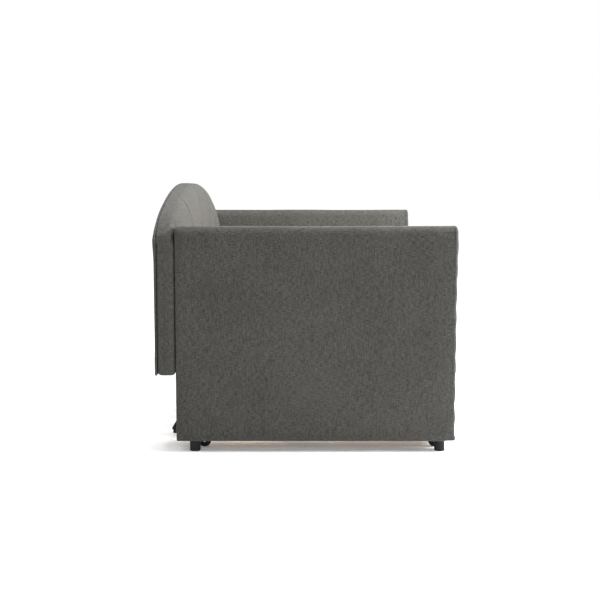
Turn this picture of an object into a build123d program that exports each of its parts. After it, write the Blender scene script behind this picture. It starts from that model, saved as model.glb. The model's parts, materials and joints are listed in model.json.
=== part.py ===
from build123d import *
import os

# Upholstered daybed with a roll-out trundle, in millimetres.
# X runs along the bed, +Y points to the back, +Z is up. The origin is on the floor, under the
# middle of the overall length and depth.

# ---- driving dimensions: daybed ------------------------------------------------------------
overall_length = 2100.0
arm_depth = 1030.0
arm_thick = 85.0
arm_height = 838.0  # top of the arms above the floor
arm_bottom = 40.0  # underside of the arms above the floor
arm_top_round = 20.0
arm_edge_round = 8.0
arm_pad = 20.0  # foam and cloth round the arm's frame

back_overhang = 76.0  # how far the back stands behind the arms
back_bottom = 287.0
crest_height = 985.0  # top of the back at mid length
arch_end_height = 836.0  # where the crest's arc would meet the ends
shoulder_drop = 51.0
shoulder_run = 198.0
back_pad = 23.0  # foam in front of the back's frame, where the arms meet it
back_crown = 24.0  # extra foam between the arms
back_margin = 20.0  # foam over the frame's top, ends and bottom
rear_panel_thick = 8.0

deck_height = 410.0  # top of the slats
slat_thick = 18.0
slat_width = 70.0
slat_count = 14
slat_round = 3.0
slat_end_gap = 10.0  # first slat from the arm
slat_screw_offset = 12.0  # each screw from its slat's middle
ledger_height = 40.0
ledger_depth = 30.0
rear_ledger_depth = 47.0
rail_height = 102.0
rail_thick = 45.0
rail_pad = 10.0
rail_recess = 6.0  # rail's face behind the arms' front edges
rail_above_deck = 2.0

# ---- driving dimensions: frames of the arms and the back -----------------------------------
post_width = 60.0
arm_top_rail = 45.0
arm_bottom_rail = 60.0
arm_mid_rail = 120.0
back_member = 60.0
back_bottom_rail = 100.0
stile_width = 45.0
channel_count = 5

# ---- driving dimensions: feet --------------------------------------------------------------
foot_radius = 19.75
foot_round = 3.0
foot_rear_inset = 66.5  # foot's axis from the arm's rear edge
foot_front_inset = 53.0
stud_radius = 4.0
stud_above_foot = 45.0
stud_in_foot = 20.0
nut_radius = 5.5
nut_height = 12.0
nut_flange_radius = 11.0
nut_flange_thick = 1.5
dust_cover_thick = 2.0

# ---- driving dimensions: trundle -----------------------------------------------------------
trundle_side_gap = 7.0  # between the trundle and each arm
frame_bottom = 54.0
tube_width = 40.0
tube_height = 20.0
tube_wall = 1.5
tube_corner = 2.5
trundle_rear_reach = 20.5  # rear tube behind the arms' rear edges
panel_thick = 27.0
panel_recess = 8.0  # trundle's front behind the arms' front edges
panel_bottom = 42.0
panel_gap = 8.0  # between the trundle's front and the rail above it
panel_core = 15.0
panel_front_pad = 7.0
trundle_slat_thick = 12.0
trundle_slat_width = 68.0
trundle_slat_count = 12
cap_flange = 2.0
cap_plug = 15.0
bumper_width = 42.0
bumper_depth = 40.0
bumper_height = 30.0
bumper_slope = 17.0  # how far the bumper's sloped back leans forward
bumper_round = 9.0
bumper_lip = 4.0  # thickness of the lip behind the rear tube
bumper_lap = 6.0  # how far the lip reaches down
bumper_screw_inset = 10.0
trundle_slat_round = 2.0
trundle_screw_offset = 10.0
panel_bolt_places = (-0.88, -0.3, 0.3, 0.88)  # along the panel, as parts of its half length
panel_bolt_head = (7.0, 4.0)
panel_screw_head = (5.0, 2.0)
panel_grip = 10.0  # how far the bolts and screws run into the panel's core
panel_bracket_width = 40.0
panel_bracket_rise = 110.0
panel_screw_rises = (45.0, 90.0)

wheel_radius = 25.0
wheel_width = 20.0
wheel_round = 3.0
wheel_dish = 4.0
wheel_rim = 6.0
wheel_hub_radius = 8.0
axle_radius = 4.0
axle_cap = (6.0, 2.0)  # radius and thickness of the axle's heads
running_gap = 0.05
wheel_inset = 20.5  # wheel's middle from the trundle's end
wheel_rear_inset = 96.3  # rear wheels' axis from the arms' rear edges
wheel_front_inset = 64.0  # front wheels' axis from the arms' front edges
fork_plate = 2.5
fork_wall = 2.0
fork_gap = 1.0  # between the wheel and each leg of its fork
fork_plate_width = 40.0
fork_plate_depth = 56.0
fork_plate_round = 4.0
fork_eye = 8.0  # radius round the axle
fork_shoulder = 15.0  # half width of a leg at the plate
fork_screw_offset = 21.0
fork_screw_head = (4.5, 1.8)

# ---- fasteners and clearances --------------------------------------------------------------
bolt_radius = 4.0
bolt_head = (8.0, 4.5)  # radius and height
bolt_in_timber = 30.0  # how far a bolt runs into a frame behind its padding
screw_radius = 2.5
screw_head = (4.5, 1.5)
screw_in_tube = 5.0
ledger_screw_radius = 3.0
ledger_screw_head = (6.0, 3.0)
ledger_screw_margin = 75.0  # first screw from the ledger's end
ledger_screw_count = 6
back_bolt_rise = 420.0  # lower bolts above the arms' undersides
back_bolt_drop = 120.0  # upper bolts below the arms' tops
insert_radius = 6.0
insert_length = 20.0
counterbore_radius = 10.0
counterbore_depth = 10.0
bolt_gap = 0.05
head_depth = 0.5  # top of a sunk screw's head below the face
seat_gap = 0.5  # between upholstered faces that meet
bracket_wall = 3.0
bracket_leg = 60.0
bracket_height = 38.0
beam_width = 20.0
beam_wall = 1.5
hanger_wing = 25.0  # how far a hanger's plate reaches beyond the beam on each side
hanger_shelf = 50.0
hanger_bolt_inset = 11.0

# ---- places worked out from the sizes ------------------------------------------------------
half_length = overall_length / 2
y_front = -(arm_depth + back_overhang) / 2
y_arm_rear = y_front + arm_depth
y_back_rear = y_arm_rear + back_overhang
y_panel = y_back_rear - rear_panel_thick  # back of the back's frame
y_back_frame = y_arm_rear + back_pad
x_arm_inner = half_length - arm_thick
z_slat = deck_height - slat_thick  # underside of the slats
z_ledger = z_slat - ledger_height
y_rail = y_front + rail_recess
y_rail_rear = y_rail + rail_thick
z_rail_top = deck_height + rail_above_deck
z_rail = z_rail_top - rail_height
y_trundle_panel = y_front + panel_recess
y_frame_front = y_trundle_panel + panel_thick
y_frame_rear = y_arm_rear + trundle_rear_reach
x_frame = x_arm_inner - trundle_side_gap
frame_top = frame_bottom + tube_height
z_trundle_panel_top = z_rail - panel_gap
seam_pitch = overall_length / channel_count
seams = [seam_pitch * (i + 1) - half_length for i in range(channel_count - 1)]
wheel_places = {
    "front_left": (-(x_frame - wheel_inset), y_front + wheel_front_inset),
    "front_middle": (0.0, y_front + wheel_front_inset),
    "front_right": (x_frame - wheel_inset, y_front + wheel_front_inset),
    "rear_left": (-(x_frame - wheel_inset), y_arm_rear - wheel_rear_inset),
    "rear_middle": (0.0, y_arm_rear - wheel_rear_inset),
    "rear_right": (x_frame - wheel_inset, y_arm_rear - wheel_rear_inset),
}
sides = {"left": -1, "right": 1}
along = {"x": Vector(1, 0, 0), "y": Vector(0, 1, 0), "z": Vector(0, 0, 1)}

parts = {}  # node name -> its separate solids


# ---- helpers -------------------------------------------------------------------------------
def block(x, y, z):
    """Box between two X values, two Y values and two Z values, each pair in either order."""
    spans = [abs(b - a) for a, b in (x, y, z)]
    middle = [(a + b) / 2 for a, b in (x, y, z)]
    return Pos(*middle) * Box(*spans)


def rod(start, direction, length, radius):
    """Cylinder that begins at start and runs along direction."""
    place = Plane(origin=start, z_dir=direction).location
    return place * Cylinder(radius, length, align=(Align.CENTER, Align.CENTER, Align.MIN))


def bolt(start, direction, length, radius, head_radius, head_height):
    """Round-headed bolt: the head's underside is at start and the shank runs along direction."""
    head = rod(start, -direction, head_height, head_radius)
    head = fillet(head.edges().filter_by(GeomType.CIRCLE).sort_by_distance(start)[-1], head_height * 0.45)
    return head + rod(start, direction, length, radius)


def overlaps(a, b):
    """True if the bounding boxes of two shapes meet."""
    box_a, box_b = a.bounding_box(), b.bounding_box()
    return all(lo <= hi for lo, hi in zip(tuple(box_a.min), tuple(box_b.max))) and all(
        lo <= hi for lo, hi in zip(tuple(box_b.min), tuple(box_a.max))
    )


def cut(node, tool):
    """Takes tool out of each solid of a node that it reaches."""
    kept = []
    for solid in parts[node]:
        kept += (solid - tool).solids() if overlaps(solid, tool) else [solid]
    parts[node] = kept


def add(node, *shapes):
    """Adds the solids of some shapes to a node."""
    parts.setdefault(node, []).extend(s for shape in shapes for s in shape.solids())


def fasten(node, through, start, direction, length, radius, head_radius, head_height):
    """Puts a bolt in node and a hole for it in each of the nodes that it goes through."""
    add(node, bolt(start, direction, length, radius, head_radius, head_height))
    hole = rod(start, direction, length + 1, radius + bolt_gap)
    for name in through:
        cut(name, hole)


def sink(node, through, start, direction, length, radius, head_radius, head_height):
    """As fasten, with the head set into the first of the nodes, just below its face."""
    depth = head_height + head_depth
    cut(through[0], rod(start, direction, depth, head_radius + seat_gap))
    place = Vector(start) + direction * depth
    fasten(node, through, place, direction, length - depth, radius, head_radius, head_height)


# ---- arms ----------------------------------------------------------------------------------
def arm(side, sign):
    """Timber frame, upholstered cover and dust cover of one arm."""
    x_outer, x_inner = sign * half_length, sign * x_arm_inner
    x_frame_out, x_frame_in = sign * (half_length - arm_pad), sign * (x_arm_inner + arm_pad)
    y0, y1 = y_front + arm_pad, y_arm_rear - arm_pad
    z0, z1 = arm_bottom + dust_cover_thick, arm_height - arm_pad
    x_span = (x_frame_out, x_frame_in)

    cover = block((x_outer, x_inner), (y_front, y_arm_rear), (arm_bottom, arm_height))
    top_edges = cover.edges().filter_by(Axis.Y).group_by(Axis.Z)[-1]
    cover = fillet(top_edges, arm_top_round)
    ends = cover.faces().filter_by(Axis.Y)
    cover = fillet([e for face in ends for e in face.edges()], arm_edge_round)
    pocket = block(x_span, (y0, y1), (arm_bottom - 1, z1))
    add(f"arm_cover_{side}", cover - pocket)

    node = f"arm_frame_{side}"
    z_mid = z_ledger - (arm_mid_rail - ledger_height) / 2
    add(node, block(x_span, (y0, y0 + post_width), (z0, z1)))
    add(node, block(x_span, (y1 - post_width, y1), (z0, z1)))
    between = (y0 + post_width, y1 - post_width)
    add(node, block(x_span, between, (z1 - arm_top_rail, z1)))
    add(node, block(x_span, between, (z_mid, z_mid + arm_mid_rail)))
    add(node, block(x_span, between, (z0, z0 + arm_bottom_rail)))

    add(f"arm_dust_cover_{side}", block(x_span, (y0, y1), (arm_bottom, z0)))


def feet(side, sign):
    """Two round feet under one arm, with their studs and the nuts that hold them."""
    x = sign * (half_length - arm_thick / 2)
    for end, y in (("front", y_front + foot_front_inset), ("rear", y_arm_rear - foot_rear_inset)):
        foot = rod((x, y, 0), along["z"], arm_bottom, foot_radius)
        foot = fillet(foot.edges().filter_by(GeomType.CIRCLE).group_by(Axis.Z)[0], foot_round)
        stud_base = (x, y, arm_bottom - stud_in_foot)
        stud = rod(stud_base, along["z"], stud_in_foot + stud_above_foot, stud_radius)
        z_nut = arm_bottom + dust_cover_thick
        flange = rod((x, y, z_nut), along["z"], nut_flange_thick, nut_flange_radius)
        seat = flange + rod((x, y, z_nut), along["z"], nut_height, nut_radius)
        clear = rod(stud_base, along["z"], stud_in_foot + stud_above_foot + 1, stud_radius + bolt_gap)
        add(f"foot_{end}_{side}", foot - clear)
        cut(f"arm_dust_cover_{side}", clear)
        cut(f"arm_frame_{side}", clear + seat)
        add("foot_studs", stud)
        add("foot_nuts", seat - clear)


# ---- back ----------------------------------------------------------------------------------
def back_outline(inset):
    """Face of the back's front view, drawn inset from its outer edge: level bottom, upright
    ends, rounded shoulders and one long arc over the top."""
    sagitta = crest_height - arch_end_height
    radius = (half_length**2 + sagitta**2) / (2 * sagitta)
    z_centre = crest_height - radius
    radius -= inset
    half = half_length - inset
    x_join = half_length - shoulder_run
    z_join = z_centre + (radius**2 - x_join**2) ** 0.5
    slope = x_join / (z_join - z_centre)
    z_corner = z_join - slope * (half - x_join)
    z_end = arch_end_height - shoulder_drop - inset
    z_low = back_bottom + inset
    crest = ThreePointArc((-x_join, z_join), (0, z_centre + radius), (x_join, z_join))
    right = Bezier((x_join, z_join), (half, z_corner), (half, z_end))
    low = Polyline((half, z_end), (half, z_low), (-half, z_low), (-half, z_end))
    left = Bezier((-half, z_end), (-half, z_corner), (-x_join, z_join))
    return make_face([crest, right, low, left])


def back_slab(inset, y0, y1):
    """The back's outline as a slab between two Y values."""
    upright = Plane(origin=(0, y1, 0), x_dir=(1, 0, 0), z_dir=(0, -1, 0))
    return extrude(upright.location * back_outline(inset), y1 - y0)


def back():
    """Timber frame, channelled front cushion and rear panel of the back."""
    inner = back_slab(back_margin, y_back_frame, y_panel)
    hollow = back_slab(back_margin + back_member, y_back_frame - 1, y_panel + 1)
    x_post = half_length - back_margin - back_member
    z_tall = crest_height + 1
    z_rail_frame = back_bottom + back_margin + back_bottom_rail
    everything = (y_back_frame - 2, y_panel + 2)
    above_rail = block((-x_post, x_post), everything, (z_rail_frame, z_tall))
    below_rail = block((-x_post, x_post), everything, (0, z_rail_frame))
    for sign in sides.values():
        outside = block((sign * x_post, sign * half_length), everything, (0, z_tall))
        add("back_frame", inner & outside)
    add("back_frame", inner & below_rail)
    add("back_frame", (inner - hollow) & above_rail)
    for x in seams:
        stile = block((x - stile_width / 2, x + stile_width / 2), everything, (z_rail_frame, z_tall))
        add("back_frame", inner & hollow & stile)

    y_crown = y_arm_rear - back_crown
    x_crown = x_arm_inner - seat_gap
    z_crown = z_rail_top + seat_gap
    crown_zone = block((-x_crown, x_crown), (y_crown, y_panel), (z_crown, z_tall))
    crown = back_slab(0, y_crown, y_arm_rear) & crown_zone
    front_edges = [e for e in crown.faces().sort_by(Axis.Y)[0].edges() if e.center().Z > z_crown + 1]
    crown = fillet(front_edges, back_crown * 0.9)
    cushion = back_slab(0, y_arm_rear, y_panel) + crown
    add("back_cushion", cushion - back_slab(back_margin, y_back_frame, y_panel + 1))

    panel = back_slab(0, y_panel, y_back_rear)
    rear_face = panel.faces().sort_by(Axis.Y)[-1]
    add("back_rear_panel", fillet(rear_face.edges(), rear_panel_thick * 0.6))


def back_bolts():
    """Bolts that hold the back to the arms, and the threaded inserts they run into."""
    y_insert = y_arm_rear - arm_pad
    for side, sign in sides.items():
        x = sign * (half_length - arm_thick / 2)
        for z in (arm_bottom + back_bolt_rise, arm_height - back_bolt_drop):
            start = Vector(x, y_panel - counterbore_depth, z)
            cut("back_frame", rod(start, along["y"], counterbore_depth + 1, counterbore_radius))
            insert = rod((x, y_insert, z), -along["y"], insert_length, insert_radius)
            cut(f"arm_frame_{side}", insert)
            bore = rod((x, y_insert + 1, z), -along["y"], insert_length + 2, bolt_radius + bolt_gap)
            add("back_inserts", insert - bore)
            through = ["back_frame", "back_cushion", f"arm_cover_{side}", f"arm_frame_{side}"]
            length = start.Y - y_insert + insert_length + 5
            fasten("back_bolts", through, start, -along["y"], length, bolt_radius, *bolt_head)


# ---- front rail, ledgers and brackets ------------------------------------------------------
def front_rail():
    """Upholstered rail between the arms' front ends, over a timber core."""
    x = x_arm_inner - seat_gap
    x_core = x - rail_pad
    cover = block((-x, x), (y_rail, y_rail_rear), (z_rail, z_rail_top))
    cover = fillet(cover.edges().filter_by(Axis.X), rail_pad * 0.8)
    core_y = (y_rail + rail_pad, y_rail_rear - rail_pad)
    pocket = block((-x_core, x_core), core_y, (z_rail - 1, z_rail_top - rail_pad))
    add("front_rail_cover", cover - pocket)
    add("front_rail_core", block((-x_core, x_core), core_y, (z_rail, z_rail_top - rail_pad)))


def ledgers():
    """Timber ledges inside the front rail and the back, which carry the slats."""
    x = x_arm_inner - seat_gap
    y_rear = y_arm_rear - rear_ledger_depth
    add("front_ledger", block((-x, x), (y_rail_rear, y_rail_rear + ledger_depth), (z_ledger, z_slat)))
    add("rear_ledger", block((-x, x), (y_rear, y_arm_rear), (z_ledger, z_slat)))
    z = z_ledger + ledger_height / 2
    reach = x - ledger_screw_margin
    for i in range(ledger_screw_count):
        place = -reach + i * 2 * reach / (ledger_screw_count - 1)
        front = Vector(place, y_rail_rear + ledger_depth, z)
        fasten("ledger_screws", ["front_ledger", "front_rail_cover", "front_rail_core"], front,
               -along["y"], ledger_depth + rail_pad + 15, ledger_screw_radius, *ledger_screw_head)
        rear = Vector(place, y_rear, z)
        fasten("ledger_screws", ["rear_ledger", "back_cushion", "back_frame"], rear,
               along["y"], rear_ledger_depth + back_pad + 25, ledger_screw_radius, *ledger_screw_head)


def corner_brackets():
    """Steel angles that tie the rail and the back to the arms, with their bolts."""
    z0 = z_ledger - bracket_height - 2
    z_bolt = z0 + bracket_height / 2
    for side, sign in sides.items():
        x = sign * x_arm_inner
        for end, y, inward, behind in (
            ("front", y_rail_rear, 1, ["front_rail_cover", "front_rail_core"]),
            ("rear", y_arm_rear, -1, ["back_cushion", "back_frame"]),
        ):
            node = f"corner_bracket_{end}_{side}"
            z = (z0, z0 + bracket_height)
            on_arm = block((x, x - sign * bracket_wall), (y, y + inward * bracket_leg), z)
            on_rail = block((x, x - sign * bracket_leg), (y, y + inward * bracket_wall), z)
            add(node, on_arm + on_rail)
            arm_bolt = Vector(x - sign * bracket_wall, y + inward * bracket_leg * 0.6, z_bolt)
            fasten("bracket_bolts", [node, f"arm_cover_{side}", f"arm_frame_{side}"], arm_bolt,
                   along["x"] * sign, bracket_wall + arm_pad + bolt_in_timber, bolt_radius, *bolt_head)
            rail_bolt = Vector(x - sign * bracket_leg * 0.6, y + inward * bracket_wall, z_bolt)
            grip = rail_pad + 15 if end == "front" else back_pad + bolt_in_timber
            fasten("bracket_bolts", [node, *behind], rail_bolt,
                   along["y"] * -inward, bracket_wall + grip, bolt_radius, *bolt_head)


# ---- deck ----------------------------------------------------------------------------------
def row_of(count, width, reach):
    """Middles of count equal slats, spaced evenly with the outer ones' edges at the reach."""
    first = -reach + width / 2
    pitch = 2 * (reach - width / 2) / (count - 1)
    return [first + i * pitch for i in range(count)]


def deck():
    """Slats, the steel beam under their middles and the hangers that carry the beam."""
    y0, y1 = y_rail_rear + 4, y_arm_rear - 5
    y_rear_screw = y_arm_rear - rear_ledger_depth / 2
    places = row_of(slat_count, slat_width, x_arm_inner - slat_end_gap)
    for x in places:
        slat = block((x - slat_width / 2, x + slat_width / 2), (y0, y1), (z_slat, deck_height))
        add("deck_slats", fillet(slat.edges().filter_by(Axis.Y), slat_round))
    for x in places:
        for y, ledger in ((y_rail_rear + ledger_depth / 2, "front_ledger"), (y_rear_screw, "rear_ledger")):
            sink("deck_slat_screws", ["deck_slats", ledger], Vector(x + slat_screw_offset, y, deck_height),
                 -along["z"], slat_thick + 20, screw_radius, *screw_head)

    y_span = (-beam_width / 2, beam_width / 2)
    z_span = (z_ledger, z_slat)
    x_beam = x_arm_inner - bracket_wall - seat_gap
    inner = block((-x_beam - 1, x_beam + 1), (-beam_width / 2 + beam_wall, beam_width / 2 - beam_wall),
                  (z_ledger + beam_wall, z_slat - beam_wall))
    add("centre_beam", block((-x_beam, x_beam), y_span, z_span) - inner)
    for side, sign in sides.items():
        node = f"beam_hanger_{side}"
        wing = beam_width / 2 + hanger_wing
        x_face = sign * x_arm_inner
        x_in = x_face - sign * bracket_wall
        plate = block((x_face, x_in), (-wing, wing), (z_ledger - bracket_wall, z_slat - 2))
        x_shelf = (x_face, x_face - sign * hanger_shelf)
        half_outside = beam_width / 2 + bracket_wall
        shelf = block(x_shelf, (-half_outside, half_outside), (z_ledger - bracket_wall, z_ledger))
        z_cheek = (z_ledger - bracket_wall, z_slat - 2)
        cheeks = [block(x_shelf, (s * beam_width / 2, s * half_outside), z_cheek) for s in (-1, 1)]
        add(node, plate + shelf + cheeks[0] + cheeks[1])
        for s in (-1, 1):
            start = Vector(x_in, s * (wing - hanger_bolt_inset), z_ledger + ledger_height / 2)
            fasten("bracket_bolts", [node, f"arm_cover_{side}", f"arm_frame_{side}"], start,
                   along["x"] * sign, bracket_wall + arm_pad + bolt_in_timber, bolt_radius, *bolt_head)


# ---- trundle -------------------------------------------------------------------------------
def tube(x, y, axis):
    """Rectangular steel tube at the trundle frame's level, open at both ends."""
    z = (frame_bottom, frame_top)
    outer = fillet(block(x, y, z).edges().filter_by(axis), tube_corner)
    lo_z, hi_z = frame_bottom + tube_wall, frame_top - tube_wall
    if axis == Axis.X:
        inner = block((x[0] - 1, x[1] + 1), (y[0] + tube_wall, y[1] - tube_wall), (lo_z, hi_z))
    else:
        inner = block((x[0] + tube_wall, x[1] - tube_wall), (y[0] - 1, y[1] + 1), (lo_z, hi_z))
    return outer - inner


def trundle_frame():
    """Welded tube frame with plugs in its open ends."""
    x = x_frame - cap_flange
    y_front_in, y_rear_in = y_frame_front + tube_width, y_frame_rear - tube_width
    add("trundle_front_tube", tube((-x, x), (y_frame_front, y_front_in), Axis.X))
    add("trundle_rear_tube", tube((-x, x), (y_rear_in, y_frame_rear), Axis.X))
    for side, sign in sides.items():
        span = sorted((sign * x, sign * (x - tube_width)))
        add(f"trundle_end_tube_{side}", tube(span, (y_front_in, y_rear_in), Axis.Y))
    add("trundle_cross_tube", tube((-tube_width / 2, tube_width / 2), (y_front_in, y_rear_in), Axis.Y))
    for sign in sides.values():
        span = sorted((sign * tube_width / 2, sign * (x - tube_width)))
        add("trundle_spine_tubes", tube(span, (-tube_width / 2, tube_width / 2), Axis.X))
    for sign in sides.values():
        for y0, y1 in ((y_frame_front, y_front_in), (y_rear_in, y_frame_rear)):
            flange = block((sign * x, sign * x_frame), (y0, y1), (frame_bottom, frame_top))
            flange = fillet(flange.edges().filter_by(Axis.X), tube_corner)
            inset = tube_wall + 0.1
            plug = block((sign * x, sign * (x - cap_plug)), (y0 + inset, y1 - inset),
                         (frame_bottom + inset, frame_top - inset))
            add("trundle_tube_caps", flange + plug)


def trundle_slat_places():
    """Middles of the trundle's slats, which stop short of the bumpers."""
    return row_of(trundle_slat_count, trundle_slat_width, x_frame - bumper_width - 4)


def bumpers():
    """Rubber bumpers on the rear corners, with sloped backs that lap over the rear tube."""
    for sign in sides.values():
        x = (sign * x_frame, sign * (x_frame - bumper_width))
        y_rear = y_frame_rear + bumper_lip
        z_top = frame_top + bumper_height
        outline = Polyline((y_rear - bumper_depth, frame_top), (y_rear, frame_top),
                           (y_rear - bumper_slope, z_top), (y_rear - bumper_depth, z_top), close=True)
        end = Plane(origin=(min(x), 0, 0), x_dir=(0, 1, 0), z_dir=(1, 0, 0))
        body = extrude(end.location * make_face(outline), bumper_width)
        rear_top = body.edges().filter_by(Axis.X).sort_by(lambda e: e.center().Y + e.center().Z)[-1]
        body = fillet(rear_top, bumper_round)
        lip = block(x, (y_frame_rear, y_rear), (frame_top - bumper_lap, frame_top))
        add("rear_bumpers", body + lip)
        x_screw = sign * (x_frame - bumper_width / 2)
        start = Vector(x_screw, y_rear - bumper_depth + bumper_screw_inset, z_top)
        fasten("trundle_screws", ["rear_bumpers", "trundle_rear_tube"], start, -along["z"],
               bumper_height + screw_in_tube, screw_radius, *screw_head)


def trundle_slats():
    """Slats across the trundle frame, screwed to its front and rear tubes."""
    y0, y1 = y_frame_front + 4, y_frame_rear - 4
    z = (frame_top, frame_top + trundle_slat_thick)
    places = trundle_slat_places()
    for x in places:
        slat = block((x - trundle_slat_width / 2, x + trundle_slat_width / 2), (y0, y1), z)
        add("trundle_slats", fillet(slat.edges().filter_by(Axis.Y), trundle_slat_round))
    for x in places:
        for y, node in ((y_frame_front + tube_width / 2, "trundle_front_tube"),
                        (y_frame_rear - tube_width / 2, "trundle_rear_tube")):
            sink("trundle_screws", ["trundle_slats", node], Vector(x + trundle_screw_offset, y, z[1]),
                 -along["z"], trundle_slat_thick + screw_in_tube, screw_radius, *screw_head)


def trundle_front():
    """Upholstered front panel, the angles behind it and the bolts that hold it."""
    core_y = (y_trundle_panel + panel_front_pad, y_trundle_panel + panel_front_pad + panel_core)
    edge = panel_front_pad
    z_core = (panel_bottom, z_trundle_panel_top - edge)
    y_cover = (y_trundle_panel, y_frame_front)
    cover = block((-x_frame, x_frame), y_cover, (panel_bottom, z_trundle_panel_top))
    cover = fillet(cover.edges().filter_by(Axis.X), edge * 0.8)
    pocket = block((-x_frame + edge, x_frame - edge), core_y, (panel_bottom - 1, z_core[1]))
    add("trundle_panel_cover", cover - pocket)
    add("trundle_panel_core", block((-x_frame + edge, x_frame - edge), core_y, z_core))

    through = ["trundle_front_tube", "trundle_panel_cover", "trundle_panel_core"]
    z_bolt = (frame_bottom + frame_top) / 2
    for share in panel_bolt_places:
        start = Vector(share * x_frame, y_frame_front + tube_width, z_bolt)
        fasten("panel_bolts", through, start, -along["y"],
               tube_width + (y_frame_front - core_y[1]) + panel_grip, bolt_radius, *panel_bolt_head)

    gaps = trundle_slat_places()
    for i in (1, trundle_slat_count - 3):
        x = (gaps[i] + gaps[i + 1]) / 2
        span = (x - panel_bracket_width / 2, x + panel_bracket_width / 2)
        z_top = frame_top + panel_bracket_rise
        upright = block(span, (y_frame_front, y_frame_front + bracket_wall), (frame_top, z_top))
        y_sole = (y_frame_front, y_frame_front + tube_width)
        sole = block(span, y_sole, (frame_top, frame_top + bracket_wall))
        add("panel_brackets", upright + sole)
        for rise in panel_screw_rises:
            start = Vector(x, y_frame_front + bracket_wall, frame_top + rise)
            fasten("panel_bolts", ["panel_brackets", "trundle_panel_cover", "trundle_panel_core"], start,
                   -along["y"], bracket_wall + (y_frame_front - core_y[1]) + panel_grip, screw_radius,
                   *panel_screw_head)
        start = Vector(x, y_frame_front + tube_width * 0.62, frame_top + bracket_wall)
        fasten("panel_bolts", ["panel_brackets", "trundle_front_tube"], start,
               -along["z"], bracket_wall + screw_in_tube, screw_radius, *panel_screw_head)


# ---- casters -------------------------------------------------------------------------------
def wheel(x, y):
    """Moulded wheel with a rounded tread, dished sides and a plain bore."""
    start = (x - wheel_width / 2, y, wheel_radius)
    body = rod(start, along["x"], wheel_width, wheel_radius)
    body = fillet(body.edges().filter_by(GeomType.CIRCLE), wheel_round)
    for x_side in (x - wheel_width / 2, x + wheel_width / 2 - wheel_dish):
        face = (x_side, y, wheel_radius)
        hub = rod(face, along["x"], wheel_dish, wheel_hub_radius)
        body -= rod(face, along["x"], wheel_dish, wheel_radius - wheel_rim) - hub
    bore_start = (start[0] - 1, y, wheel_radius)
    return body - rod(bore_start, along["x"], wheel_width + 2, axle_radius + running_gap)


def caster(place, x, y):
    """Fixed caster: plate and fork under the frame, axle, wheel and two fixing screws."""
    node = f"caster_fork_{place}"
    z_plate = frame_bottom - fork_plate
    plate = block((x - fork_plate_width / 2, x + fork_plate_width / 2),
                  (y - fork_plate_depth / 2, y + fork_plate_depth / 2), (z_plate, frame_bottom))
    plate = fillet(plate.edges().filter_by(Axis.Z), fork_plate_round)
    leg_in = wheel_width / 2 + fork_gap
    taper = Polyline((-fork_shoulder, z_plate), (fork_shoulder, z_plate), (fork_eye, wheel_radius),
                     (-fork_eye, wheel_radius), close=True)
    leg = make_face(taper) + Pos(0, wheel_radius) * Circle(fork_eye)
    fork = plate
    for x_leg in (x - leg_in - fork_wall, x + leg_in):
        side = Plane(origin=(x_leg, y, 0), x_dir=(0, 1, 0), z_dir=(1, 0, 0))
        fork += extrude(side.location * leg, fork_wall)
    axle_length = 2 * (leg_in + fork_wall)
    axle_start = Vector(x - leg_in - fork_wall, y, wheel_radius)
    fork -= rod(axle_start - along["x"], along["x"], axle_length + 2, axle_radius + bolt_gap)
    add(node, fork)

    axle = rod(axle_start, along["x"], axle_length, axle_radius)
    axle_end = axle_start + along["x"] * axle_length
    for end, direction in ((axle_start, -along["x"]), (axle_end, along["x"])):
        cap = rod(end, direction, axle_cap[1], axle_cap[0])
        axle += fillet(cap.edges().filter_by(GeomType.CIRCLE).sort_by_distance(end)[-1], axle_cap[1] * 0.45)
    add("caster_axles", axle)
    add(f"wheel_{place}", wheel(x, y))

    tubes = [name for name in parts if name.startswith("trundle_") and name.split("_")[2:3] == ["tube"]]
    for offset in (-fork_screw_offset, fork_screw_offset):
        start = Vector(x, y + offset, z_plate)
        fasten("caster_screws", [node, *tubes], start, along["z"],
               fork_plate + 4, screw_radius, *fork_screw_head)


# ---- build and write -----------------------------------------------------------------------
def build():
    for side, sign in sides.items():
        arm(side, sign)
        feet(side, sign)
    back()
    back_bolts()
    front_rail()
    ledgers()
    corner_brackets()
    deck()
    trundle_frame()
    trundle_slats()
    bumpers()
    trundle_front()
    for place, (x, y) in wheel_places.items():
        caster(place, x, y)


def write():
    os.makedirs("parts", exist_ok=True)
    for name, solids in parts.items():
        shape = solids[0] if len(solids) == 1 else Compound(children=solids)
        export_step(shape, f"parts/{name}.step")
    print(len(parts), "nodes,", sum(len(s) for s in parts.values()), "solids")


build()
write()
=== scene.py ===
"""Upholstered daybed with a roll-out trundle: the looks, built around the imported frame."""
import json
import math

import bmesh
import bpy
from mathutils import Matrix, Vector, noise


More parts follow.
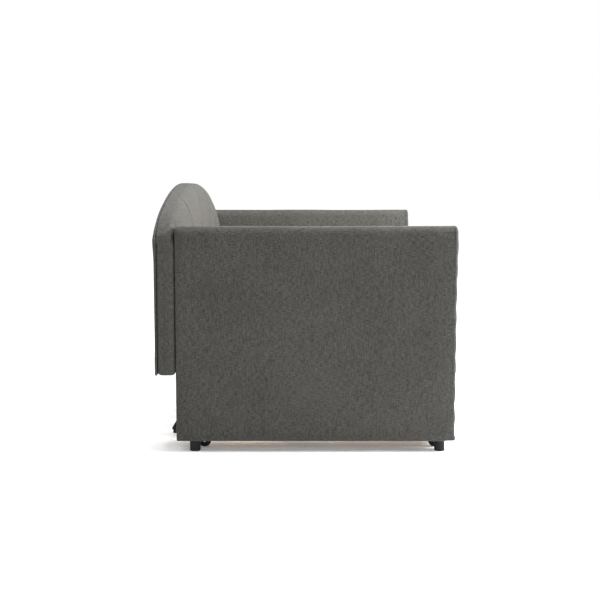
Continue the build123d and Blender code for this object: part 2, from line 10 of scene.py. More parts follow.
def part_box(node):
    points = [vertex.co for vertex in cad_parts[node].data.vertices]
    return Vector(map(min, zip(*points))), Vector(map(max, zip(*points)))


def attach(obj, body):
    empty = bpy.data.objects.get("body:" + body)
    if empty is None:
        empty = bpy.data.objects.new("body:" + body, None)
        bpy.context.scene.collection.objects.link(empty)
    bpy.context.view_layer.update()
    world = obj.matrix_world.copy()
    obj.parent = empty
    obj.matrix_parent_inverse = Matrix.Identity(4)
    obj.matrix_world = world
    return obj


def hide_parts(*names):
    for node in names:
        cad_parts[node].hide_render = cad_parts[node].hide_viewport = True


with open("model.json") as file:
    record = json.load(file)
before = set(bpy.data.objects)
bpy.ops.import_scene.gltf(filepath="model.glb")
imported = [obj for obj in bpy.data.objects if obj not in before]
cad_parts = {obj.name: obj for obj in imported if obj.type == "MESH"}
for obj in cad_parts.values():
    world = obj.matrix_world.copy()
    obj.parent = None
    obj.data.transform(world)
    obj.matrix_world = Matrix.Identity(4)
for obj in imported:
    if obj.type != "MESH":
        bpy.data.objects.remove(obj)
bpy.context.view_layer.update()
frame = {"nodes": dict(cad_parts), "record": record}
nodes = frame["nodes"]

MM = 0.001

# ---- places read from the frame ------------------------------------------------------------
ARM_LO, ARM_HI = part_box("arm_cover_left")
BACK_LO, BACK_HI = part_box("back_cushion")
PANEL_LO, PANEL_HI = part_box("back_rear_panel")
RAIL_LO, RAIL_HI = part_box("front_rail_cover")
TRUNDLE_LO, TRUNDLE_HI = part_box("trundle_panel_cover")
HALF_LENGTH = -ARM_LO.x
ARM_INNER = -ARM_HI.x
ARM_REAR = ARM_HI.y
ARM_TOP = ARM_HI.z
CREST = PANEL_HI.z
CHANNELS = 5
SEAMS = [HALF_LENGTH * (2 * (i + 1) / CHANNELS - 1) for i in range(CHANNELS - 1)]

# ---- upholstery: sizes that the frame doesn't hold --------------------------------------------
PUFF = 1.0 * MM  # room left inside the nominal faces for the filling to push out
FILL_FRAMES = 20
ARM_ROUND_X = 22 * MM
ARM_ROUND_Y = 11 * MM
ARM_ROUND_TOP = 32 * MM
ARM_ROUND_BOTTOM = 9 * MM
ARM_ROUND_REAR = 5 * MM
PUCKER_PITCH = 90 * MM  # bumps along the arms' front edges, where the cloth is stapled
PUCKER_DEPTH = 1.8 * MM
ARM_FRONT_PROUD = 4.5 * MM  # foam in front of the arm's nominal face
ARM_REAR_PROUD = 1.0 * MM
ARM_CROWN = 5.0 * MM  # how much the faces fall away towards their edges
ARM_CROWN_REACH = 95 * MM
ARM_LEAN = 3.0 * MM  # extra foam at the top of the arms' front edges

END_HEIGHT = 836 * MM  # where the crest's arc would meet the ends
SHOULDER_DROP = 51 * MM
SHOULDER_RUN = 198 * MM
SHOULDER_ROLL = 4 * MM  # the rear cloth stands out where it folds over the shoulders
SHOULDER_ROLL_AT = 785 * MM
CREST_SETBACK = 25 * MM  # crest behind the arms' rear faces
CREST_Y = ARM_REAR + CREST_SETBACK
JOINT_GAP = 1.2 * MM  # between the cushion and the arms' rear faces
REAR_TOP_ROUND = 3 * MM
REAR_ROWS = 36
FRONT_ROWS = 28
FRONT_BULGE = 27.5 * MM  # cushion's face in front of the arms' rear faces
FRONT_FALL = 117 * MM  # height of the crest's front curve
FRONT_POWER = 2 / 1.77
BOTTOM_ROUND = 15 * MM
END_ROUND = 16 * MM
SEAM_DEPTH = 6 * MM
SEAM_HALF = 11 * MM
CHANNEL_CROWN = 4.5 * MM  # how far a channel swells between its seams
CREASE_DEPTH = 0.8 * MM  # small folds beside the seams
CREASE_REACH = 60 * MM


# ---- node materials ---------------------------------------------------------------------------
class Nodes:
    """Short way to write a material's node tree."""

    def __init__(self, name):
        self.material = bpy.data.materials.new(name)
        self.material.use_nodes = True
        self.tree = self.material.node_tree
        self.shader = self.tree.nodes["Principled BSDF"]
        self.position = self.new("ShaderNodeTexCoord").outputs["Object"]

    def new(self, kind, **settings):
        node = self.tree.nodes.new(kind)
        for key, value in settings.items():
            setattr(node, key, value)
        return node

    def link(self, source, socket):
        if isinstance(source, bpy.types.NodeSocket):
            self.tree.links.new(source, socket)
        else:
            socket.default_value = source

    def math(self, operation, a, b=0.0):
        node = self.new("ShaderNodeMath", operation=operation)
        self.link(a, node.inputs[0])
        self.link(b, node.inputs[1])
        return node.outputs[0]

    def scaled(self, scale):
        """Object position, stretched by a number for each axis."""
        node = self.new("ShaderNodeVectorMath", operation="MULTIPLY")
        self.link(self.position, node.inputs[0])
        node.inputs[1].default_value = scale
        return node.outputs[0]

    def noise(self, scale, detail=2.0, roughness=0.5):
        """Noise from 0 to 1, with scale in cycles per metre for each axis."""
        node = self.new("ShaderNodeTexNoise")
        self.link(self.scaled(scale), node.inputs["Vector"])
        node.inputs["Scale"].default_value = 1.0
        node.inputs["Detail"].default_value = detail
        node.inputs["Roughness"].default_value = roughness
        return node.outputs["Fac"]

    def ramp(self, factor, *stops):
        """Colour ramp; each stop is a place from 0 to 1 and a colour or a grey."""
        node = self.new("ShaderNodeValToRGB")
        self.link(factor, node.inputs["Fac"])
        elements = node.color_ramp.elements
        while len(elements) < len(stops):
            elements.new(0.5)
        for element, (place, colour) in zip(elements, stops):
            element.position = place
            element.color = (*colour, 1) if hasattr(colour, "__len__") else (colour,) * 3 + (1,)
        return node.outputs["Color"]

    def mix(self, factor, a, b, blend="MIX"):
        node = self.new("ShaderNodeMix", data_type="RGBA", blend_type=blend)
        self.link(factor, node.inputs["Factor"])
        for value, socket in ((a, node.inputs[6]), (b, node.inputs[7])):
            if isinstance(value, tuple):
                value = (*value, 1)
            self.link(value, socket)
        return node.outputs[2]

    def bump(self, height, distance, strength=1.0, under=None):
        node = self.new("ShaderNodeBump")
        node.inputs["Strength"].default_value = strength
        node.inputs["Distance"].default_value = distance
        self.link(height, node.inputs["Height"])
        if under:
            self.link(under, node.inputs["Normal"])
        return node.outputs["Normal"]

    def finish(self, colour, roughness, normal=None, **constants):
        self.link(colour, self.shader.inputs["Base Color"])
        self.link(roughness, self.shader.inputs["Roughness"])
        if normal:
            self.link(normal, self.shader.inputs["Normal"])
        for name, value in constants.items():
            self.shader.inputs[name.replace("_", " ")].default_value = value
        return self.material


def weave(n, pitch):
    """Over-and-under height of a plain weave, from 0 to 1, on faces that look any way."""
    split = n.new("ShaderNodeSeparateXYZ")
    n.link(n.scaled((math.pi / pitch,) * 3), split.inputs[0])
    x, y, z = [n.math("SINE", axis) for axis in split.outputs]
    facing = n.new("ShaderNodeSeparateXYZ")
    n.link(n.new("ShaderNodeNewGeometry").outputs["Normal"], facing.inputs[0])
    total = 0.5
    for normal, a, b in zip(facing.outputs, (y, x, x), (z, z, y)):
        share = n.math("MULTIPLY", normal, normal)
        crossing = n.math("MULTIPLY", a, b)
        total = n.math("ADD", total, n.math("MULTIPLY", crossing, n.math("MULTIPLY", share, 0.5)))
    return total


def linen(name, dark, light, pitch=1.6 * MM):
    """Heathered linen: fine weave, slubs along both threads and soft broad mottling."""
    n = Nodes(name)
    upright = n.noise((420, 420, 60), 3)
    level = n.noise((60, 60, 420), 3)
    streaks = n.math("ADD", n.math("MULTIPLY", upright, 0.5), n.math("MULTIPLY", level, 0.5))
    fleck = n.noise((900, 900, 900), 1)
    broad = n.noise((5, 5, 5), 2)
    threads = n.ramp(streaks, (0.36, dark), (0.62, light))
    threads = n.mix(0.35, threads, n.ramp(fleck, (0.35, 0.35), (0.7, 0.8)), "OVERLAY")
    colour = n.mix(0.16, threads, n.ramp(broad, (0.35, 0.32), (0.65, 0.68)), "OVERLAY")
    cloth = weave(n, pitch)
    relief = n.bump(cloth, 0.35 * MM, 0.55)
    relief = n.bump(streaks, 0.6 * MM, 0.5, relief)
    relief = n.bump(n.noise((26, 26, 26), 3), 1.2 * MM, 0.16, relief)
    roughness = n.ramp(fleck, (0.2, 0.86), (0.8, 0.97))
    return n.finish(
        colour, roughness, relief, Sheen_Weight=0.03, Sheen_Roughness=0.5, Specular_IOR_Level=0.14
    )


def dust_cloth():
    """Thin black non-woven cloth with a pressed dot pattern."""
    n = Nodes("dust_cloth")
    dots = n.new("ShaderNodeTexVoronoi", feature="F1")
    n.link(n.scaled((450, 450, 450)), dots.inputs["Vector"])
    dots.inputs["Scale"].default_value = 1.0
    fibres = n.noise((700, 700, 700), 3)
    colour = n.ramp(fibres, (0.3, (0.008, 0.008, 0.009)), (0.7, (0.028, 0.028, 0.03)))
    relief = n.bump(dots.outputs["Distance"], 0.3 * MM, 0.6)
    return n.finish(colour, n.ramp(fibres, (0.3, 0.8), (0.7, 0.95)), relief)


def wood(name, pale, dark, along, knots=0.5):
    """Planed softwood whose grain runs along X, Y or Z, with rings, fibres and a few knots."""
    n = Nodes(name)
    stretch = [42.0, 42.0, 42.0]
    stretch["xyz".index(along)] = 2.2
    ring_noise = n.noise(tuple(stretch), 4, 0.55)
    rings = n.math("FRACT", n.math("MULTIPLY", ring_noise, 9.0))
    rings = n.math("PINGPONG", rings, 0.5)
    fine = [900.0, 900.0, 900.0]
    fine["xyz".index(along)] = 14.0
    fibres = n.noise(tuple(fine), 2)
    boards = n.noise((9.0, 2.0, 5.0), 0)
    grain = n.ramp(rings, (0.05, pale), (0.42, dark))
    grain = n.mix(0.30, grain, n.ramp(fibres, (0.3, 0.30), (0.7, 0.72)), "OVERLAY")
    colour = n.mix(knots * 0.5, grain, n.ramp(boards, (0.3, 0.36), (0.7, 0.66)), "OVERLAY")
    relief = n.bump(fibres, 0.2 * MM, 0.4)
    roughness = n.ramp(fibres, (0.3, 0.55), (0.7, 0.74))
    return n.finish(colour, roughness, relief, Specular_IOR_Level=0.35)


def powder_coat():
    """Black powder-coated steel: fine orange peel and a little dust."""
    n = Nodes("black_powder_coat")
    peel = n.noise((650, 650, 650), 2)
    dust = n.noise((14, 14, 14), 4)
    colour = n.ramp(dust, (0.35, (0.010, 0.010, 0.011)), (0.75, (0.026, 0.026, 0.027)))
    relief = n.bump(peel, 0.12 * MM, 0.45)
    return n.finish(colour, n.ramp(dust, (0.3, 0.36), (0.8, 0.55)), relief, Coat_Weight=0.12)


def moulded(name, tone, rough, grain=420.0):
    """Moulded black plastic or rubber: spark-eroded grain with faint scuffs."""
    n = Nodes(name)
    pores = n.noise((grain,) * 3, 3)
    scuffs = n.noise((30, 160, 30), 3)
    shade = tone * 2.4
    colour = n.ramp(scuffs, (0.42, (tone, tone, tone * 1.04)), (0.8, (shade, shade, shade)))
    relief = n.bump(pores, 0.15 * MM, 0.5)
    roughness = n.ramp(scuffs, (0.3, rough), (0.75, min(rough + 0.2, 0.95)))
    return n.finish(colour, roughness, relief, Specular_IOR_Level=0.22)


def zinc():
    """Zinc-plated steel with a faint spangle."""
    n = Nodes("zinc_plate")
    spangle = n.noise((300, 300, 300), 3)
    colour = n.ramp(spangle, (0.3, (0.42, 0.43, 0.45)), (0.7, (0.62, 0.62, 0.60)))
    roughness = n.ramp(spangle, (0.3, 0.28), (0.7, 0.44))
    return n.finish(colour, roughness, n.bump(spangle, 0.05 * MM, 0.4), Metallic=1.0)


# ---- mesh helpers -----------------------------------------------------------------------------
def smooth(t):
    """Smooth step from 0 to 1."""
    t = max(0.0, min(1.0, t))
    return t * t * (3 - 2 * t)


def make(name, verts, faces, material):
    """Object with smooth-shaded faces that look outwards."""
    mesh = bpy.data.meshes.new(name)
    mesh.from_pydata([tuple(v) for v in verts], [], faces)
    mesh.polygons.foreach_set("use_smooth", [True] * len(mesh.polygons))
    mesh.materials.append(material)
    mesh.validate()
    obj = bpy.data.objects.new(name, mesh)
    bpy.context.scene.collection.objects.link(obj)
    return obj


def stations(lo, hi, round_lo, round_hi, step, extra=()):
    """Grid positions from lo to hi: close together in each rounded end and evenly spaced between."""
    ends = [math.tan(math.radians(a)) for a in (45, 33, 22, 11)]
    start = [lo + round_lo * (1 - t) for t in ends]
    finish = [hi - round_hi * (1 - t) for t in reversed(ends)]
    a, b = lo + round_lo, hi - round_hi
    count = max(1, round((b - a) / step))
    middle = [a + (b - a) * i / count for i in range(count + 1)]
    places = sorted(start + middle + finish + list(extra))
    kept = [places[0]]
    for place in places[1:]:
        if place - kept[-1] > 1.2 * MM:
            kept.append(place)
    return kept


def rounded_box(name, lo, hi, round_lo, round_hi, step, material, extra=((), (), ())):
    """Closed box of quads whose edges are rounded by a radius for each side of each axis."""
    lines = [stations(lo[a], hi[a], round_lo[a], round_hi[a], step, extra[a]) for a in range(3)]
    last = [len(line) - 1 for line in lines]
    index, verts, faces = {}, [], []

    def vertex(ijk):
        if ijk not in index:
            centre, push = [], []
            for a in range(3):
                q = lines[a][ijk[a]]
                low, high = lo[a] + round_lo[a], hi[a] - round_hi[a]
                c = min(max(q, low), high)
                radius = round_lo[a] if q < low else round_hi[a]
                centre.append((c, radius))
                push.append((q - c) / radius)
            length = math.sqrt(sum(p * p for p in push)) or 1.0
            verts.append([c + radius * p / length for (c, radius), p in zip(centre, push)])
            index[ijk] = len(verts) - 1
        return index[ijk]

    for a in range(3):
        b, c = (a + 1) % 3, (a + 2) % 3
        for side in (0, last[a]):
            for i in range(last[b]):
                for j in range(last[c]):
                    corners = []
                    for di, dj in ((0, 0), (1, 0), (1, 1), (0, 1)):
                        ijk = [0, 0, 0]
                        ijk[a], ijk[b], ijk[c] = side, i + di, j + dj
                        corners.append(vertex(tuple(ijk)))
                    faces.append(corners if side else corners[::-1])
    return make(name, verts, faces, material)


def displace(obj, shift):
    """Moves each vertex by shift(position, normal), worked out on the mesh as it stands."""
    mesh = obj.data
    normals = [v.normal.copy() for v in mesh.vertices]
    for v, normal in zip(mesh.vertices, normals):
        v.co = v.co + shift(v.co, normal)
    mesh.update()


def subdivide(obj):
    """One level of smooth subdivision."""
    modifier = obj.modifiers.new("smooth", "SUBSURF")
    modifier.levels = modifier.render_levels = 1


def inflate(obj, held, cap, pressure=4.0):
    """Fills a closed cover like foam under cloth: a short cloth simulation with held points, after
    which no point is further than cap from where it began."""
    scene = bpy.context.scene
    start = [v.co.copy() for v in obj.data.vertices]
    pins = obj.vertex_groups.new(name="held")
    pins.add([v.index for v in obj.data.vertices if held(v.co)], 1.0, "REPLACE")
    cloth = obj.modifiers.new("fill", "CLOTH")
    settings = cloth.settings
    settings.quality = 4
    settings.vertex_group_mass = "held"
    settings.use_pressure = True
    settings.uniform_pressure_force = pressure
    settings.effector_weights.gravity = 0
    settings.tension_stiffness = settings.compression_stiffness = 20
    settings.bending_stiffness = 2.0
    cloth.collision_settings.use_collision = False
    for number in range(1, FILL_FRAMES + 1):
        scene.frame_set(number)
    result = obj.evaluated_get(bpy.context.evaluated_depsgraph_get()).to_mesh()
    ends = [v.co.copy() for v in result.vertices]
    obj.modifiers.remove(cloth)
    obj.vertex_groups.clear()
    scene.frame_set(1)
    for v, a, b in zip(obj.data.vertices, start, ends):
        move = b - a
        if move.length > cap:
            move *= cap / move.length
        v.co = a + move
    obj.data.update()


def wander(co, pitch, seed):
    """Slow noise from -1 to 1 with features about pitch across."""
    return noise.noise(co / pitch + Vector((seed, seed * 1.7, seed * 2.3)))


# ---- soft pieces ------------------------------------------------------------------------------
def soft(obj, body, slot, fill, *replaced):
    """Smooths an upholstered piece, hangs it on its body and hides the CAD nodes it replaces."""
    subdivide(obj)
    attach(obj, body)
    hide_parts(*replaced)


def arm(side, cloth):
    """Arm: a flat upholstered slab, soft over the top, with the cloth puckered down its front."""
    lo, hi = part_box(f"arm_cover_{side}")
    obj = rounded_box(
        f"arm_upholstery_{side}",
        lo + Vector((PUFF, -ARM_FRONT_PROUD, 0)),
        hi - Vector((PUFF, -ARM_REAR_PROUD, 0)),
        (ARM_ROUND_X, ARM_ROUND_Y, ARM_ROUND_BOTTOM),
        (ARM_ROUND_X, ARM_ROUND_REAR, ARM_ROUND_TOP),
        15 * MM,
        cloth,
    )

    def held(co):
        return co.z < lo.z + ARM_ROUND_BOTTOM or co.y > hi.y - 4 * MM

    inflate(obj, held, 2.5 * MM, 2.0)

    def shift(co, normal):
        front = smooth((lo.y + 60 * MM - co.y) / (55 * MM))
        along = math.cos(2 * math.pi * (co.z - lo.z) / PUCKER_PITCH + 0.8 * wander(co, 300 * MM, 3))
        fade = smooth((co.z - lo.z) / (60 * MM)) * smooth((hi.z - co.z) / (60 * MM))
        pucker = PUCKER_DEPTH * along * front * fade
        soft_wave = 1.3 * MM * wander(co, 260 * MM, 5) + 0.6 * MM * wander(co, 90 * MM, 9)
        rear = smooth((hi.y - co.y) / (30 * MM)) * smooth((co.z - lo.z) / (20 * MM))
        from_top = max(0.0, 1 - (hi.z - co.z) / ARM_CROWN_REACH)
        from_front = max(0.0, 1 - (co.y - lo.y) / ARM_CROWN_REACH)
        fall = ARM_CROWN * (from_top**2 + 0.8 * from_front**2) * abs(normal.x)
        lean = ARM_LEAN * smooth((co.z - 0.55 * hi.z) / (0.4 * hi.z)) * front * max(0.0, -normal.y)
        return normal * (pucker * 0.8 + soft_wave * rear - fall + lean)

    displace(obj, shift)
    soft(obj, "daybed", "linen", 0.85, f"arm_cover_{side}")
    return obj


def crest_height(x):
    """Height of the back's crest: one long arc with its ends rounded down."""
    sagitta = CREST - END_HEIGHT
    radius = (HALF_LENGTH**2 + sagitta**2) / (2 * sagitta)
    z = CREST - radius + math.sqrt(radius**2 - x * x)
    end = max(0.0, SHOULDER_RUN - (HALF_LENGTH - abs(x))) / SHOULDER_RUN
    return z - SHOULDER_DROP * (1 - math.sqrt(max(0.0, 1 - end * end)))


def curve_steps(count):
    return [math.radians(90) * i / count for i in range(count + 1)]


def back_section(front, rear, top, front_fall, low):
    """Loop of (y, z) round the back at one place along it: up the rear, over the crest, down the
    front and back along the bottom."""
    loop = []
    r = BOTTOM_ROUND if rear - front > 3 * BOTTOM_ROUND else (rear - front) * 0.35
    loop += [(rear - r + r * math.sin(t), low + r - r * math.cos(t)) for t in curve_steps(4)]
    z_rear = top - REAR_TOP_ROUND
    loop += [(rear, low + r + (z_rear - low - r) * i / REAR_ROWS) for i in range(1, REAR_ROWS)]
    arc = curve_steps(4)
    y_turn = rear - REAR_TOP_ROUND
    loop += [(y_turn + REAR_TOP_ROUND * math.cos(t), z_rear + REAR_TOP_ROUND * math.sin(t)) for t in arc]
    loop.append(((CREST_Y + rear - REAR_TOP_ROUND) / 2 + 6 * MM, top))
    for t in curve_steps(12):
        y = CREST_Y - (CREST_Y - front) * math.sin(t) ** FRONT_POWER
        z = top - front_fall * (1 - math.cos(t) ** FRONT_POWER)
        loop.append((y, z))
    z_front = top - front_fall
    loop += [(front, z_front + (low + r - z_front) * i / FRONT_ROWS) for i in range(1, FRONT_ROWS)]
    loop += [(front + r - r * math.cos(t), low + r - r * math.sin(t)) for t in arc]
    loop.append(((front + rear) / 2, low))
    return loop


def swept(name, places, section, material):
    """Closed body through one loop at each place along X, with gridded ends."""
    verts, faces, rings = [], [], []

    def ring(x, loop):
        rings.append(len(verts))
        verts.extend((x, y, z) for y, z in loop)

    def shrunk(loop, share):
        """Loop drawn in towards the middle line of the section."""
        ys, zs = [p[0] for p in loop], [p[1] for p in loop]
        cy, cz = (min(ys) + max(ys)) / 2, (min(zs) + max(zs)) / 2
        half_y, half_z = (max(ys) - min(ys)) / 2, (max(zs) - min(zs)) / 2
        drop = half_y * (1 - share)
        return [(cy + (y - cy) * share, cz + (z - cz) * (half_z - drop) / half_z) for y, z in loop]

    shares = (0.04, 0.3, 0.6, 0.85)
    for share in shares:
        ring(places[0], shrunk(section(places[0]), share))
    for x in places:
        ring(x, section(x))
    for share in reversed(shares):
        ring(places[-1], shrunk(section(places[-1]), share))
    count = len(section(places[0]))
    for a, b in zip(rings, rings[1:]):
        for i in range(count):
            j = (i + 1) % count
            faces.append([a + i, a + j, b + j, b + i])
    obj = make(name, verts, faces, material)
    close_end(obj, rings[0], count)
    close_end(obj, rings[-1], count, True)
    return obj


def close_end(obj, first, count, flip=False):
    """Fills the flat loop at one end with triangles."""
    bm = bmesh.new()
    bm.from_mesh(obj.data)
    bm.verts.ensure_lookup_table()
    loop = [bm.verts[first + i] for i in range(count)]
    face = bm.faces.new(loop if flip else loop[::-1])
    face.smooth = True
    bmesh.ops.triangulate(bm, faces=[face])
    bmesh.ops.recalc_face_normals(bm, faces=bm.faces)
    bm.to_mesh(obj.data)
    bm.free()


def end_inset(x, radius):
    """How far the section is drawn in near the ends, which are rounded."""
    e = HALF_LENGTH - abs(x)
    if e >= radius:
        return 0.0
    return radius - math.sqrt(max(0.0, radius**2 - (radius - e) ** 2))


def back_places(step):
    """X positions of the back's sections, close together at the ends, arms and seams."""
    near = []
    for seam in SEAMS:
        near += [seam + d * SEAM_HALF for d in (-1.6, -1, -0.5, -0.2, 0, 0.2, 0.5, 1, 1.6)]
    for sign in (-1, 1):
        near += [sign * (ARM_INNER + d * MM) for d in (-40, -28, -18, -10, -3, 4)]
    return stations(-HALF_LENGTH, HALF_LENGTH, END_ROUND, END_ROUND, step, near)


def seam_pull(x):
    """1 on a channel seam, falling to 0 a short way off."""
    near = min(abs(x - seam) for seam in SEAMS)
    return math.exp(-((near / (SEAM_HALF * 0.55)) ** 2))


def channel_crown(x):
    """0 on a seam, 1 in the middle of a channel."""
    width = 2 * HALF_LENGTH / CHANNELS
    t = ((x + HALF_LENGTH) / width) % 1.0
    return math.sqrt(max(0.0, 1 - (2 * t - 1) ** 6)) * (1 - 0.25 * (2 * t - 1) ** 2)


def back(cloth):
    """Back cushion: channelled front that rolls over the crest, straight bottom edge."""
    low = BACK_LO.z
    rear = PANEL_LO.y - 0.4 * MM
    ledge = RAIL_HI.z + 8 * MM

    def section(x):
        inset = end_inset(x, END_ROUND)
        top = crest_height(x) - inset
        clear = smooth((ARM_INNER - 2 * MM - abs(x)) / (26 * MM))
        front = ARM_REAR + JOINT_GAP - FRONT_BULGE * clear
        fall = FRONT_FALL * (0.35 + 0.65 * clear)
        loop = back_section(front + inset, rear - inset * 0.3, top, fall, low + inset)
        return [(max(y, ARM_REAR + JOINT_GAP) if z < ledge else y, z) for y, z in loop]

    obj = swept("back_upholstery", back_places(24 * MM), section, cloth)

    def held(co):
        on_seam = any(abs(co.x - seam) < 1 * MM for seam in SEAMS)
        behind = co.y > ARM_REAR + 40 * MM
        beside = abs(co.x) > ARM_INNER - 12 * MM
        return on_seam or behind or beside or co.z < ledge + 15 * MM

    inflate(obj, held, 5 * MM, 3.0)

    def shift(co, normal):
        facing = smooth((ARM_REAR + CREST_SETBACK - co.y) / (24 * MM)) if co.z > ledge else 0.0
        between = smooth((ARM_INNER - abs(co.x)) / (20 * MM))
        under = smooth((co.z - ledge) / (50 * MM))
        groove = SEAM_DEPTH * seam_pull(co.x)
        crown = CHANNEL_CROWN * channel_crown(co.x)
        off_seam = min(abs(co.x - seam) for seam in SEAMS) / CREASE_REACH
        fold = wander(Vector((co.x * 3.2, co.y, co.z)), 60 * MM, 4)
        crease = CREASE_DEPTH * fold * math.exp(-(off_seam**2))
        slow = 1.2 * MM * wander(co, 230 * MM, 7)
        return normal * ((crown - groove + crease + slow) * facing * between * under)

    displace(obj, shift)
    soft(obj, "daybed", "linen", 0.8, "back_cushion")
    return obj


def rear_panel(cloth):
    """Cloth-covered panel over the rear of the back, pulled tight, with a soft edge."""
    front, rear, low = PANEL_LO.y + 0.2 * MM, PANEL_HI.y, PANEL_LO.z
    edge = 4.5 * MM

    def section(x):
        inset = end_inset(x, edge)
        top = crest_height(x) - inset
        loop = []
        a, b = low + inset, top
        rows = 30
        turn = curve_steps(3)
        loop += [(rear - edge + edge * math.sin(t), a + edge - edge * math.cos(t)) for t in turn]
        loop += [(rear, a + edge + (b - a - 2 * edge) * i / rows) for i in range(1, rows)]
        loop += [(rear - edge + edge * math.cos(t), b - edge + edge * math.sin(t)) for t in turn]
        loop.append((front, b - 0.5 * MM))
        loop += [(front, b + (a - b) * i / rows) for i in range(1, rows)]
        loop.append((front, a + 0.5 * MM))
        return loop

    obj = swept("back_rear_cloth", stations(-HALF_LENGTH, HALF_LENGTH, edge, edge, 30 * MM), section, cloth)

    def shift(co, normal):
        edge_fade = smooth((HALF_LENGTH - abs(co.x)) / (60 * MM)) * smooth((co.z - low) / (60 * MM))
        edge_fade *= smooth((crest_height(co.x) - co.z) / (60 * MM)) * (1 if normal.y > 0.5 else 0)
        rolled = math.exp(-(((co.z - SHOULDER_ROLL_AT) / (45 * MM)) ** 2)) * (co.y > rear - edge)
        rolled *= smooth((abs(co.x) - HALF_LENGTH + 150 * MM) / (100 * MM))
        shift_y = (1.1 * wander(co, 210 * MM, 11) - 0.3) * MM * edge_fade + SHOULDER_ROLL * rolled
        return Vector((0, shift_y, 0))

    displace(obj, shift)
    soft(obj, "daybed", "linen", 0.9, "back_rear_panel")
    return obj


def long_pad(name, lo, hi, body, node, round_y, round_z, cloth, seed):
    """Long upholstered board: flat face, soft edges, cloth drawn slightly at its staples."""
    obj = rounded_box(
        name, lo + Vector((0, PUFF, 0)), hi - Vector((0, 0, PUFF)),
        (5 * MM, round_y, round_z), (5 * MM, round_y, round_z), 17 * MM, cloth,
    )

    def held(co):
        return co.y > hi.y - 3 * MM or abs(co.x) > hi.x - 6 * MM

    inflate(obj, held, 1.5 * MM, 2.0)

    def shift(co, normal):
        edge = max(smooth((co.z - hi.z + 30 * MM) / (25 * MM)), smooth((lo.z + 30 * MM - co.z) / (25 * MM)))
        ripple = 0.7 * MM * math.cos(2 * math.pi * co.x / PUCKER_PITCH + wander(co, 300 * MM, seed)) * edge
        calm = smooth((hi.x - abs(co.x)) / (30 * MM)) * smooth((hi.y - co.y) / (12 * MM))
        return normal * ((ripple + 0.9 * MM * wander(co, 200 * MM, seed + 2) - 0.7 * MM) * calm)

    displace(obj, shift)
    soft(obj, body, "linen", 0.85, node)
    return obj


def dust_cover(side, cloth):
    """Thin cloth stapled under an arm, lifted here and there by about half a millimetre."""
    node = f"arm_dust_cover_{side}"
    lo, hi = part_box(node)
    rows, columns = 60, 6
    thick = 0.8 * MM
    verts, faces = [], []
    for layer in (0, 1):
        for i in range(rows + 1):
            for j in range(columns + 1):
                u, v = i / rows, j / columns
                lift = 0.5 * MM * noise.noise(Vector((u * 30, v * 3, 2.0)))
                z = lo.z + 0.6 * MM + lift + layer * thick
                verts.append((lo.x + (hi.x - lo.x) * v, lo.y + (hi.y - lo.y) * u, z))
    size = (rows + 1) * (columns + 1)

    def at(layer, i, j):
        return layer * size + i * (columns + 1) + j

    for i in range(rows):
        for j in range(columns):
            faces.append([at(0, i, j), at(0, i + 1, j), at(0, i + 1, j + 1), at(0, i, j + 1)])
            faces.append([at(1, i, j), at(1, i, j + 1), at(1, i + 1, j + 1), at(1, i + 1, j)])
    for i in range(rows):
        faces.append([at(0, i, 0), at(1, i, 0), at(1, i + 1, 0), at(0, i + 1, 0)])
        faces.append([at(0, i + 1, columns), at(1, i + 1, columns), at(1, i, columns), at(0, i, columns)])
    for j in range(columns):
        faces.append([at(0, 0, j + 1), at(1, 0, j + 1), at(1, 0, j), at(0, 0, j)])
        faces.append([at(0, rows, j), at(1, rows, j), at(1, rows, j + 1), at(0, rows, j + 1)])
    obj = make(f"dust_cloth_{side}", verts, faces, cloth)
    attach(obj, "daybed")
    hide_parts(node)
    return obj


# ---- camera, light and floor ------------------------------------------------------------------
def camera():
    """The view of the bed's left end."""
    data = bpy.data.cameras.new("camera")
    data.sensor_width = 36
    data.lens = 71.28
    data.clip_end = 100
    cam = bpy.data.objects.new("camera", data)
    cam.location = (-5.359, 0.020, 1.025)
    cam.rotation_euler = (math.radians(90 - 6.05), 0, math.radians(-90))
    bpy.context.scene.collection.objects.link(cam)
    bpy.context.scene.camera = cam


def area_light(name, place, aim, size, power):
    data = bpy.data.lights.new(name, "AREA")
    data.shape = "DISK"
    data.size = size
    data.energy = power
    light = bpy.data.objects.new(name, data)
    light.location = place
    light.rotation_euler = (Vector(aim) - Vector(place)).to_track_quat("-Z", "Y").to_euler()
    bpy.context.scene.collection.objects.link(light)


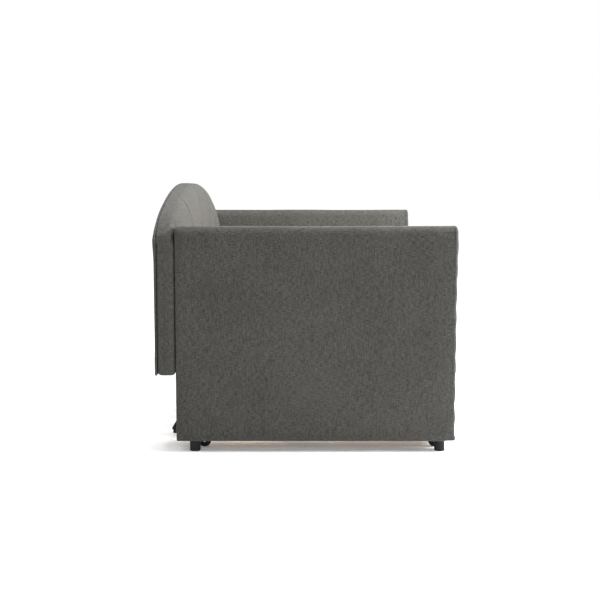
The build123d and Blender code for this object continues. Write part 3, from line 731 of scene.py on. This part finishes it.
def studio():
    """White world, a large soft key in front of the bed and a pale floor."""
    scene = bpy.context.scene
    scene.view_settings.view_transform = "Standard"
    scene.world = bpy.data.worlds.new("white")
    scene.world.use_nodes = True
    background = scene.world.node_tree.nodes["Background"]
    background.inputs["Color"].default_value = (1, 1, 1, 1)
    background.inputs["Strength"].default_value = 1.0
    area_light("key", (-0.4, -3.2, 2.6), (0.1, 0.3, 0.6), 2.8, 520)
    area_light("top", (-0.5, -0.6, 3.0), (0.4, 0.0, 0.5), 1.6, 130)
    area_light("side", (-2.6, -2.3, 2.5), (-1.05, -0.45, 0.8), 0.9, 45)

    n = Nodes("floor")
    tone = n.ramp(n.noise((1.5, 1.5, 1.5), 2), (0.3, 0.93), (0.7, 0.95))
    material = n.finish(tone, 0.85, Emission_Color=(1, 1, 1, 1), Emission_Strength=0.12)
    reach = 40
    floor = make("floor", [(-reach, -reach, 0), (reach, -reach, 0), (reach, reach, 0), (-reach, reach, 0)],
                 [(0, 1, 2, 3)], material)


# ---- finishes of the kept CAD nodes -----------------------------------------------------------
def finish_nodes(finishes):
    """Gives each CAD node the material of its record slot."""
    slots = {row["node"]: row["material_slot"] for row in frame["record"]["subparts"]}
    for name, obj in nodes.items():
        material = finishes[slots[name]]
        if isinstance(material, dict):
            material = material.get(name, material["other"])
        obj.data.materials.clear()
        obj.data.materials.append(material)


grey_linen = linen("grey_linen", (0.018, 0.0178, 0.0162), (0.054, 0.0527, 0.0478))
black_cloth = dust_cloth()
pine_pale, pine_dark = (0.62, 0.44, 0.26), (0.45, 0.28, 0.14)
frame_pale, frame_dark = (0.50, 0.34, 0.19), (0.34, 0.20, 0.10)
finish_nodes({
    "linen": grey_linen,
    "dust_cloth": black_cloth,
    "frame_timber": {
        "arm_frame_left": wood("frame_timber_y", frame_pale, frame_dark, "y"),
        "arm_frame_right": wood("frame_timber_y2", frame_pale, frame_dark, "y"),
        "other": wood("frame_timber_x", frame_pale, frame_dark, "x"),
    },
    "slat_wood": wood("slat_pine", pine_pale, pine_dark, "y", 0.8),
    "foot_plastic": moulded("foot_black", 0.004, 0.48),
    "wheel_plastic": moulded("wheel_black", 0.005, 0.42),
    "bumper_rubber": moulded("bumper_black", 0.006, 0.70, 600.0),
    "cap_plastic": moulded("cap_black", 0.005, 0.50),
    "black_steel": powder_coat(),
    "fasteners": zinc(),
})

camera()
studio()
for side_name in ("left", "right"):
    arm(side_name, grey_linen)
    dust_cover(side_name, black_cloth)
back(grey_linen)
rear_panel(grey_linen)
long_pad("front_rail_upholstery", RAIL_LO, RAIL_HI, "daybed", "front_rail_cover",
         11 * MM, 11 * MM, grey_linen, 21)
long_pad("trundle_front_upholstery", TRUNDLE_LO, TRUNDLE_HI, "trundle", "trundle_panel_cover",
         7 * MM, 8 * MM, grey_linen, 31)
